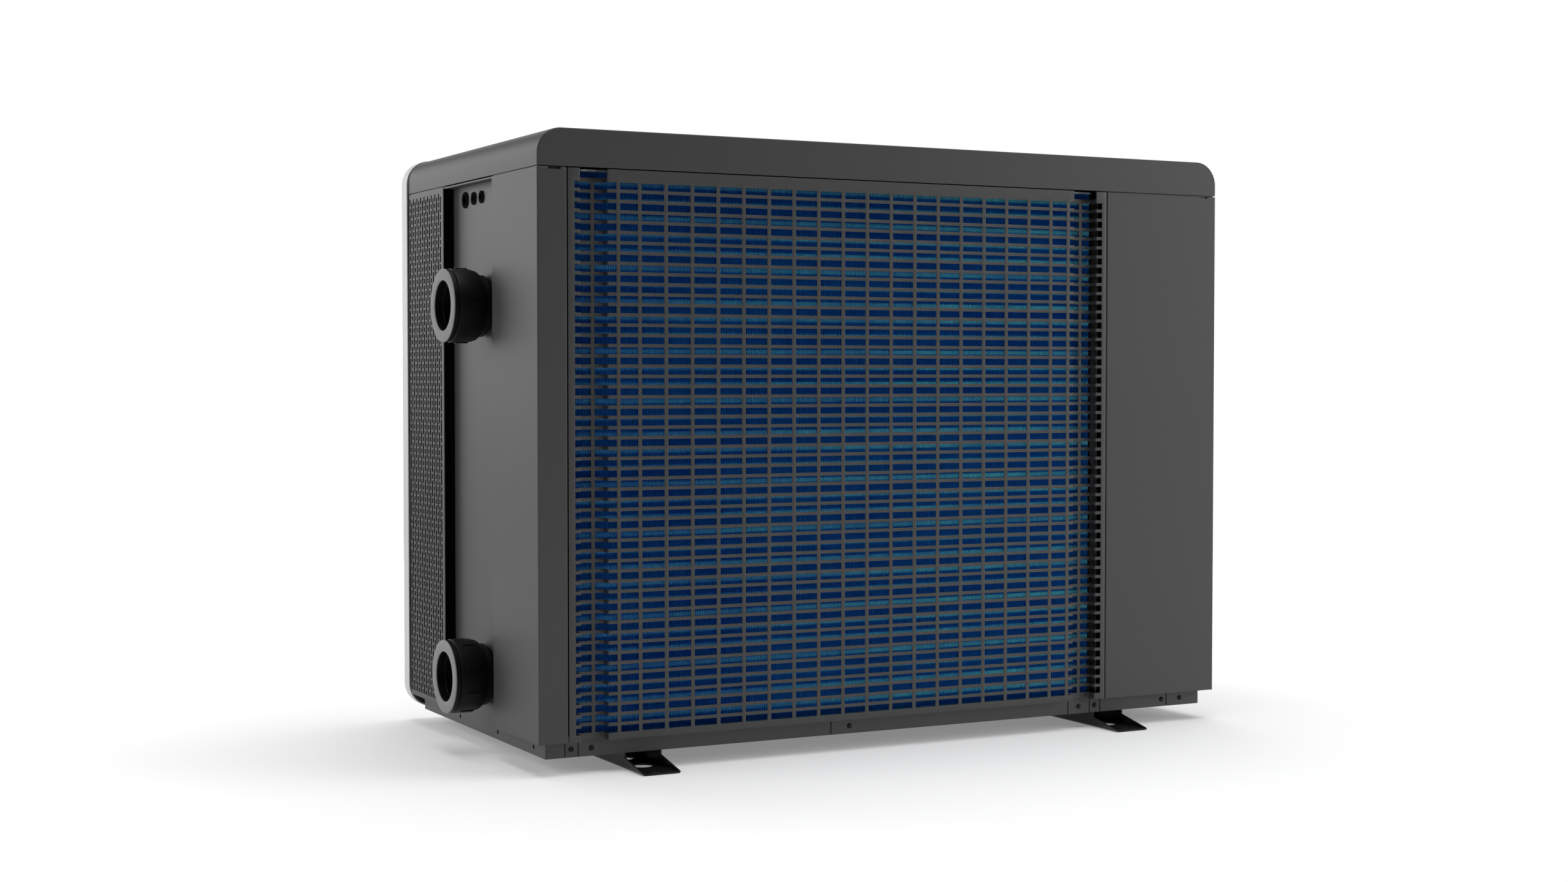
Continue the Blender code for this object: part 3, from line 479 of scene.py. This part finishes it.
# ---- outer skins -----------------------------------------------------------------------------
def make_cover():
    """Folded cover: rounded upper corners, a flat rear end with a softened rim."""
    segments = 14
    outline = [(SIDE_X, COVER_Z)]
    outline += [(SIDE_X - COVER_CORNER + COVER_CORNER * cos(a), TOP_Z - COVER_CORNER + COVER_CORNER * sin(a))
                for a in (pi / 2 * i / segments for i in range(segments + 1))]
    outline += [(FAR_X + COVER_CORNER - COVER_CORNER * sin(a), TOP_Z - COVER_CORNER + COVER_CORNER * cos(a))
                for a in (pi / 2 * i / segments for i in range(segments + 1))]
    outline += [(FAR_X, COVER_Z)]
    rim = 0.0016
    middle = (SIDE_X + FAR_X) / 2
    bm = bmesh.new()
    rings = [[(x, FRONT_Y, z) for x, z in outline]]
    for i in range(4):
        angle = pi / 2 * i / 3
        inset = rim * (1 - cos(angle))
        y = REAR_Y - rim + rim * sin(angle)
        half = (SIDE_X - FAR_X) / 2
        rings.append([(middle + (x - middle) * (half - inset) / half, y,
                       COVER_Z + (z - COVER_Z) * (TOP_Z - COVER_Z - inset) / (TOP_Z - COVER_Z))
                      for x, z in outline])
    rows = loft(bm, rings, closed=False)
    bm.faces.new(rows[-1])
    bmesh.ops.recalc_face_normals(bm, faces=bm.faces)
    face_away(bm, Vector((middle, 0, COVER_Z)))
    return thicken(add_piece("cover_skin", bm, "charcoal_paint", "top_cover"), SHEET)


def make_corner_panels():
    """The two rear corner skins, each with a shallow relief in its upper rear edge."""
    relief, start, end = 0.0024, 0.014, 0.030
    path = [(NEAR_PANEL_LOW.x + 0.024, NEAR_PANEL_LOW.y), (SIDE_X, NEAR_PANEL_LOW.y), (SIDE_X, REAR_Y),
            (NEAR_PANEL_LOW.x, REAR_Y), (NEAR_PANEL_LOW.x, REAR_Y - 0.010)]
    marks = along(path)
    openings = [(marks[2] + start, marks[2] + end, PANEL_Z - relief, PANEL_Z + 0.001)]
    bm = pierced_sheet(path, SKIN_Z, PANEL_Z, openings)
    thicken(add_piece("near_corner_skin", bm, "charcoal_paint", "corner_panel_near"), SHEET)
    path = [(FAR_PANEL_HIGH.x, REAR_Y - 0.010), (FAR_PANEL_HIGH.x, REAR_Y), (FAR_X, REAR_Y),
            (FAR_X, FAR_PANEL_LOW.y), (FAR_X + 0.010, FAR_PANEL_LOW.y)]
    marks = along(path)
    openings = [(marks[2] - 0.026, marks[2] - start, PANEL_Z - relief, PANEL_Z + 0.001)]
    bm = pierced_sheet(path, SKIN_Z, PANEL_Z, openings)
    thicken(add_piece("far_corner_skin", bm, "charcoal_paint", "corner_panel_far"), SHEET)


def make_cover_return():
    """Inward return under the cover, behind the top edges of the skins, black as painted shade for the gap under
    the cover and the reliefs.
    """
    inset, low, high = 0.0024, COVER_Z - 0.0066, COVER_Z + 0.0114
    near, far, rear = SIDE_X - inset, FAR_X + inset, REAR_Y - inset
    runs = ([(near, NEAR_PANEL_LOW.y), (near, rear), (NEAR_PANEL_LOW.x + 0.001, rear)],
            [(FAR_PANEL_HIGH.x - 0.001, rear), (far, rear), (far, AIR_LOW.y)],
            [(near, AIR_LOW.y), (near, AIR_HIGH.y - 0.0030)])
    for number, path in enumerate(runs, 1):
        strip = add_piece(f"cover_return_{number}", pierced_sheet(path, low, high, []), "black_paint")
        thicken(strip, 0.0008)


def make_service_panel():
    """Plain skin opposite the unions."""
    path = [(FAR_X + 0.010, SERVICE_HIGH.y), (FAR_X, SERVICE_HIGH.y), (FAR_X, SERVICE_LOW.y),
            (FAR_X + 0.010, SERVICE_LOW.y)]
    bm = pierced_sheet(path, SKIN_Z, PANEL_Z, [])
    thicken(add_piece("service_skin", bm, "charcoal_paint", "service_panel"), SHEET)


def vent_slots(column):
    """(low, high) of each slot in one column; every other column is shifted by half a period."""
    shift = 0.0350 if column % 2 else 0.0188
    lowest, highest = BASE_Z + 0.0263, BASE_Z + 0.6962
    found = []
    for period in range(-1, 22):
        start = BASE_Z + shift + VENT_PERIOD * period
        short = start + VENT_LONG + VENT_SPACE
        for low, high in ((start, start + VENT_LONG), (short, short + VENT_SHORT)):
            low, high = max(low, lowest), min(high, highest)
            if high - low > 0.002:
                found.append((low, high))
    return found


def make_air_panel():
    """Perforated panel ending in the black reveal of the connection recess."""
    edge = AIR_HIGH.y - 0.0015
    path = [(SIDE_X - 0.010, AIR_LOW.y), (SIDE_X, AIR_LOW.y), (SIDE_X, edge), (SIDE_X - 0.002, edge)]
    marks = along(path)
    openings = []
    for column in range(VENT_COLUMNS):
        middle = marks[2] - 0.0115 - VENT_PITCH * column
        openings += [(middle - VENT_WIDTH / 2, middle + VENT_WIDTH / 2, low, high)
                     for low, high in vent_slots(column)]
    bm = pierced_sheet(path, SKIN_Z, PANEL_Z, openings)
    thicken(add_piece("perforated_panel", bm, "charcoal_paint", "air_panel"), AIR_SHEET)
    # painted shade: a black sheet behind the slots stands for the dark interior seen through them
    bm = bmesh.new()
    add_box(bm, (SIDE_X - 0.0135, AIR_LOW.y + 0.004, SKIN_Z),
            (SIDE_X - 0.0128, edge - 0.001, PANEL_Z - 0.004))
    add_piece("vent_shade_sheet", bm, "black_rubber")
    low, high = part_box("recess_trim")
    bm = bmesh.new()
    add_box(bm, (low.x, edge, low.z), (SIDE_X - 0.0003, edge + 0.0013, high.z))
    soften(add_piece("recess_reveal", bm, "black_rubber", "recess_trim"), 0.0004)


def grille_columns(marks):
    """(start, end) of each column of slots along the grille's folded width."""
    groove, field, far_groove = marks[3] - GROOVE_WIDTH, marks[4], marks[6]
    found = [(0.0085, groove + 0.0188), (groove + 0.0233, field + 0.0119),
             (field + 0.0165, field + 0.0399)]
    start = field + 0.0445
    found += [(start + COLUMN_PITCH * i, start + COLUMN_PITCH * i + SLOT_WIDTH)
              for i in range(SLOT_COLUMNS)]
    found += [(field + 0.6396, field + 0.6623), (field + 0.6673, far_groove + 0.0166),
              (far_groove + 0.0211, marks[8] + 0.0096)]
    return found


def make_grille():
    """One folded sheet with two grooves and rows of slots, notched above both grooves."""
    floor = REAR_Y - GROOVE
    folds = [GRILLE_HIGH.x]
    for width in (FLANGE, GROOVE_WIDTH, FIELD, FAR_GROOVE, FAR_FLANGE):
        folds.append(folds[-1] - width)
    path = [(folds[0], REAR_Y), (folds[1], REAR_Y), (folds[1], floor), (folds[2], floor),
            (folds[2], REAR_Y), (folds[3], REAR_Y), (folds[3], floor), (folds[4], floor),
            (folds[4], REAR_Y), (folds[5], REAR_Y)]
    marks = along(path)
    rows = [BASE_Z + SLOT_BOTTOM + ROW_PITCH * row for row in range(SLOT_ROWS)]
    openings = [(start, end, z, z + SLOT_HEIGHT) for start, end in grille_columns(marks) for z in rows]
    openings += [(marks[corner] + 0.0010, marks[corner + 3] - 0.0010, BASE_Z + NOTCH_Z, PANEL_Z + 0.001)
                 for corner in (1, 5)]
    bm = pierced_sheet(path, SKIN_Z, PANEL_Z, openings)
    thicken(add_piece("slotted_grille", bm, "charcoal_paint", "rear_grille"), GRILLE_SHEET)


# ---- front fascia ----------------------------------------------------------------------------
def rim_point(angle, half, radius, offset):
    """Where a ray from a point beside the middle meets a rounded rectangle, in X and Z."""
    near, far = 0.0, 2.0
    for _ in range(40):
        reach = (near + far) / 2
        x = abs(offset[0] + reach * cos(angle)) - half[0] + radius
        z = abs(offset[1] + reach * sin(angle)) - half[1] + radius
        outside = Vector((max(x, 0), max(z, 0))).length + min(max(x, z), 0) - radius
        near, far = (near, reach) if outside > 0 else (reach, far)
    return reach


def make_fascia():
    """Light moulding with a rounded front edge and a flared air outlet."""
    low, high = FASCIA_LOW, FASCIA_HIGH
    radius, edge = 0.033, 0.007
    outlet = (GUARD_HIGH.x - GUARD_LOW.x) / 2 + 0.0005
    half = ((high.x - low.x) / 2, (high.z - low.z) / 2)
    offset = (FAN.x - (low.x + high.x) / 2, FAN.z - (low.z + high.z) / 2)
    corners = []
    for across in (-1, 1):
        for up in (-1, 1):
            for i in range(17):
                turn = pi / 2 * i / 16
                x = across * (half[0] - radius + radius * cos(turn)) - offset[0]
                z = up * (half[1] - radius + radius * sin(turn)) - offset[1]
                corners.append(atan2(z, x) % (2 * pi))
    angles = tidy_steps(corners + [2 * pi * i / 112 for i in range(112)])

    def rim(inset, y):
        size = (half[0] - inset, half[1] - inset)
        reach = [rim_point(angle, size, radius - inset, offset) for angle in angles]
        return [(FAN.x + r * cos(a), y, FAN.z + r * sin(a)) for a, r in zip(angles, reach)]

    def circle(distance, y):
        return [(FAN.x + distance * cos(a), y, FAN.z + distance * sin(a)) for a in angles]

    back, front = high.y, low.y
    rings = [rim(0.0004, back), rim(0.0, back - 0.0006)]
    for i in range(7):
        angle = pi / 2 * i / 6
        rings.append(rim(edge * (1 - cos(angle)), front + edge * (1 - sin(angle))))
    lip = 0.012
    rings.append(circle(outlet + lip + 0.010, front))
    for i in range(9):
        angle = pi / 2 * i / 8
        rings.append(circle(outlet + lip * (1 - sin(angle)), front + lip * (1 - cos(angle))))
    rings.append(circle(outlet, back - 0.001))
    bm = bmesh.new()
    loft(bm, rings)
    bmesh.ops.recalc_face_normals(bm, faces=bm.faces)
    face_away(bm, Vector((FAN.x, back + 0.2, FAN.z)))
    return thicken(add_piece("fascia_moulding", bm, "silver_fascia", "front_fascia"), 0.0020)


def make_guard():
    """Wire guard: rings tied by spokes round a domed hub."""
    depth = GUARD_HIGH.y - GUARD_LOW.y
    middle = (GUARD_LOW.y + GUARD_HIGH.y) / 2
    outer = (GUARD_HIGH.x - GUARD_LOW.x) / 2
    hub = 0.060
    dome = [(0, depth / 2), (hub * 0.6, depth / 2 - 0.0004), (hub - 0.004, depth / 2 - 0.0014),
            (hub, 0), (hub - 0.001, -depth / 2), (0, -depth / 2)]
    bm = lathe(dome, (FAN.x, middle, FAN.z), (0, -1, 0), 72)
    rings = int((outer - hub - 0.004) / RING_STEP)
    for ring in range(1, rings + 1):
        distance = hub + (outer - WIRE_R - 0.0004 - hub) * ring / rings
        wire = WIRE_R * (1.0 if ring < rings else 1.6)
        section = [(distance - (wire - WIRE_R) + wire * cos(a), 0.0012 + WIRE_R * sin(a))
                   for a in (2 * pi * i / 8 for i in range(8))]
        merge(bm, lathe(section, (FAN.x, middle, FAN.z), (0, -1, 0), 120))
    spokes = 12
    place = Matrix.Translation((FAN.x, middle + 0.0012, FAN.z))
    for spoke in range(spokes):
        turn = place @ Matrix.Rotation(2 * pi * spoke / spokes, 4, "Y")
        for side in (-1, 1):
            spun = turn @ Matrix.Rotation(side * 0.010, 4, "Y")
            add_box(bm, (hub - 0.004, -0.0012, -0.0011), (outer - 0.0014, 0.0012, 0.0011), spun)
    return soften(add_piece("wire_guard", bm, "black_plastic", "fan_guard"), 0.0004, 2, 50)


def make_rotor():
    """Moulded fan: a hub with a rounded nose and three broad, twisted blades."""
    bm = lathe([(0, 0.026), (0.036, 0.0255), (0.046, 0.0225), (0.0515, 0.017), (0.054, 0.008),
                (0.054, -0.026), (0.051, -0.026), (0.051, 0.006), (0.046, 0.016), (0.0095, 0.020),
                (0.0095, -0.022), (0.0064, -0.022), (0.0064, 0.0175), (0, 0.0175)],
               FAN, (0, -1, 0), 72)
    hub = add_piece("fan_hub", bm, "black_plastic", "fan_rotor", body="fan")
    for number in range(BLADES):
        make_blade(number)
    return hub


def make_blade(number):
    """One blade: wide in the middle, swept and flatter towards its tip."""
    root, tip = 0.050, 0.2345
    stations, chords = 18, 14
    place = Matrix.Translation(FAN) @ Matrix.Rotation(2 * pi * number / BLADES, 4, "Y")
    bm = bmesh.new()
    grid = []
    for i in range(stations):
        share = i / (stations - 1)
        r = root + (tip - root) * share
        half = radians(24 + 6 * sin(pi * share))
        sweep = radians(16) * share
        pitch = radians(34 - 16 * share)
        row = []
        for j in range(chords):
            turn = half * (2 * j / (chords - 1) - 1)
            camber = 0.004 * (1 - (2 * j / (chords - 1) - 1) ** 2) * (1 - 0.4 * share)
            offset = tan(pitch) * r * turn * 0.8 - camber
            spot = (r * cos(turn + sweep), offset, r * sin(turn + sweep))
            row.append(bm.verts.new(place @ Vector(spot)))
        grid.append(row)
    for a, b in zip(grid, grid[1:]):
        for j in range(chords - 1):
            bm.faces.new((a[j], a[j + 1], b[j + 1], b[j]))
    bmesh.ops.recalc_face_normals(bm, faces=bm.faces)
    blade = add_piece(f"fan_blade_{number + 1}", bm, "black_plastic", body="fan", smooth=60)
    thicken(blade, BLADE_SHEET, 0.0)
    return soften(blade, 0.0009, 2, 50)


# ---- coil ------------------------------------------------------------------------------------
def make_coil():
    """Corrugated fins on a comb of level tubes."""
    low, high = COIL_LOW, COIL_HIGH
    bm = bmesh.new()
    count = int((high.x - low.x - 0.002) / FIN_PITCH)
    for fin in range(count + 1):
        x = low.x + 0.001 + fin * FIN_PITCH
        rings = [[(x + (FIN_SWING if step % 2 else -FIN_SWING),
                   low.y + (high.y - low.y) * step / FIN_WAVES, z)
                  for step in range(FIN_WAVES + 1)] for z in (low.z, high.z)]
        loft(bm, rings, closed=False)
    fins = add_piece("fin_pack", bm, "blue_fin", "coil_fins", smooth=0)
    thicken(fins, FIN_SHEET, 0.0)
    tubes = bmesh.new()
    rows = int((high.z - low.z - TUBE_START) / TUBE_PITCH) + 1
    turn = Matrix.Rotation(pi / 2, 4, "Y")
    for row in range(rows):
        for bank, depth in enumerate(TUBE_DEPTHS):
            z = low.z + TUBE_START + TUBE_PITCH * (row - (0.5 if bank else 0.0))
            spot = ((low.x + high.x) / 2, low.y + (high.y - low.y) * depth, z)
            place = Matrix.Translation(spot) @ turn
            bmesh.ops.create_cone(tubes, cap_ends=True, segments=14, radius1=TUBE_R, radius2=TUBE_R,
                                  depth=high.x - low.x - 0.001, matrix=place)
    # the tubes take the fin material, so its painted highlight bands fall on them too
    add_piece("coil_tubes", tubes, "blue_fin")
    return fins


# ---- water unions ----------------------------------------------------------------------------
def make_union(level):
    """Socket with a grey end face, its ribbed nut and the collar behind it."""
    _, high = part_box(f"union_socket_{level}")
    axis = (1, 0, 0)
    centre = Vector((SIDE_X, UNION_AT[level].y, UNION_AT[level].z))
    face = high.x - SIDE_X
    ring = [(SOCKET_R, face - 0.0008), (SOCKET_R + 0.0002, face - 0.0002), (SOCKET_R + 0.0006, face),
            (UNION_R - 0.0006, face), (UNION_R - 0.0002, face - 0.0002), (UNION_R, face - 0.0008),
            (UNION_R, face - 0.0012), (SOCKET_R, face - 0.0012)]
    add_piece(f"union_face_{level}", lathe(ring, centre, axis), "grey_ring", f"union_socket_{level}")
    socket = [(SOCKET_R + 0.0002, face - 0.0013), (UNION_R - 0.0003, face - 0.0013),
              (UNION_R - 0.0003, face - 0.0066), (UNION_R - 0.0012, face - 0.0074),
              (0.0400, face - 0.0075), (0.0380, -0.0010), (0.0255, -0.0010), (0.0255, 0.0060),
              (0.0272, 0.0064), (0.0272, 0.0080), (0.0300, 0.0084), (0.0303, 0.0170),
              (0.0311, 0.0175), (0.0313, 0.0300), (SOCKET_R + 0.0002, 0.0305)]
    add_piece(f"union_barrel_{level}", lathe(socket, centre, axis), "black_plastic")
    nut = [(0.0412, face - 0.0078), (UNION_R - 0.0008, face - 0.0078), (UNION_R + 0.0003, face - 0.0086),
           (UNION_R + 0.0004, face - 0.0092), (UNION_R - 0.0002, 0.0092), (UNION_R - 0.0010, 0.0062),
           (0.0440, 0.0018), (0.0418, -0.0012), (0.0402, -0.0022), (0.0394, -0.0022),
           (0.0394, 0.0200)]
    bm = lathe(nut, centre, axis)
    count, start = NUT_RIBS[level]
    for rib in range(count):
        turn = Matrix.Translation(centre) @ Matrix.Rotation(radians(start + 360 / count * rib), 4, "X")
        add_box(bm, (0.0100, -0.0032, UNION_R - 0.0030), (0.0260, 0.0032, UNION_R + 0.0011), turn)
    ribbed = add_piece(f"ribbed_nut_{level}", bm, "black_plastic", f"union_nut_{level}",
                       body=f"nut_{level}")
    soften(ribbed, 0.0004, 2, 50)
    body_low, body_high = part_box(f"union_body_{level}")
    start, end = body_low.x - SIDE_X, body_high.x - SIDE_X
    collar = [(0.0225, end), (0.0366, end), (0.0380, end - 0.0004), (0.0388, end - 0.0014),
              (0.0390, end - 0.0074), (0.0380, end - 0.0082), (0.0285, end - 0.0086), (0.0285, start),
              (0.0225, start)]
    add_piece(f"union_collar_{level}", lathe(collar, centre, axis), "black_plastic", f"union_body_{level}")


# ---- CAD nodes that stay ---------------------------------------------------------------------
def finish_cad_nodes():
    """Give every CAD node that still shows the material of its slot."""
    slots = {entry["node"]: entry["material_slot"] for entry in frame["record"]["subparts"]}
    slots["far_wall"] = "charcoal_paint"        # its lower edge shows below the panels and is painted
    for name, node in frame["nodes"].items():
        node.data.materials.clear()
        node.data.materials.append(FINISH[slots[name]])


# ---- stage -----------------------------------------------------------------------------------
def make_stage():
    """Camera, pale floor, white surroundings and soft lights."""
    scene = bpy.context.scene
    camera = bpy.data.cameras.new("camera")
    camera.lens = 50.46
    camera.sensor_width = 36.0
    placed = bpy.data.objects.new("camera", camera)
    placed.location = (1.4205, 2.6753, 0.4808)
    heading, pitch = radians(62.41), radians(1.78)
    look = Vector((-cos(heading) * cos(pitch), -sin(heading) * cos(pitch), -sin(pitch)))
    placed.rotation_euler = look.to_track_quat("-Z", "Y").to_euler()
    scene.collection.objects.link(placed)
    scene.camera = placed

    bm = bmesh.new()
    bmesh.ops.create_circle(bm, cap_ends=True, segments=96, radius=FLOOR_R)
    mesh = bpy.data.meshes.new("floor")
    bm.to_mesh(mesh)
    bm.free()
    floor = bpy.data.objects.new("floor", mesh)
    pale = Finish("pale_floor", 0.9, specular=0.1)
    pale.colour([0.72, 0.72, 0.72])
    pale.shader.inputs["Emission Color"].default_value = (1, 1, 1, 1)
    away = pale.node("ShaderNodeVectorMath", operation="LENGTH")
    glow = pale.node("ShaderNodeMapRange")
    for name, value in (("From Min", GLOW_START), ("From Max", GLOW_END),
                        ("To Min", 0.22), ("To Max", 0.45)):
        glow.inputs[name].default_value = value
    pale.link(pale.place, away.inputs[0])
    pale.link(away.outputs["Value"], glow.inputs["Value"])
    pale.link(glow.outputs["Result"], pale.shader.inputs["Emission Strength"])
    mesh.materials.append(pale.material)
    scene.collection.objects.link(floor)

    world = bpy.data.worlds.new("studio")
    scene.world = world
    world.use_nodes = True
    tree = world.node_tree
    background = tree.nodes["Background"]
    rays = tree.nodes.new("ShaderNodeLightPath")
    strength = tree.nodes.new("ShaderNodeMapRange")
    strength.inputs["To Min"].default_value = 0.04
    strength.inputs["To Max"].default_value = 1.0
    tree.links.new(rays.outputs["Is Camera Ray"], strength.inputs["Value"])
    tree.links.new(strength.outputs["Result"], background.inputs["Strength"])
    background.inputs["Color"].default_value = (1, 1, 1, 1)

    centre = Vector((0, 0, 0.4))
    for name, place, size, watts in (("side_light", (3.9, -0.6, 1.9), 2.4, 60.0),
                                     ("side_sheen", (2.2, -3.8, 1.5), 2.6, 52.0),
                                     ("top_light", (-0.7, 0.1, 4.6), 5.0, 262.0),
                                     ("front_light", (-1.5, -4.0, 1.8), 3.0, 40.0),
                                     ("far_sheen", (-4.6, 3.0, 1.5), 2.8, 120.0)):
        lamp = bpy.data.lights.new(name, "AREA")
        lamp.size = size
        lamp.energy = watts
        light = bpy.data.objects.new(name, lamp)
        light.location = place
        light.rotation_euler = (centre - Vector(place)).to_track_quat("-Z", "Y").to_euler()
        scene.collection.objects.link(light)
    scene.view_settings.view_transform = "Standard"


finish_cad_nodes()
make_cover()
make_corner_panels()
make_cover_return()
make_service_panel()
make_air_panel()
make_grille()
make_fascia()
make_guard()
make_rotor()
make_coil()
for union in UNION_AT:
    make_union(union)
make_stage()
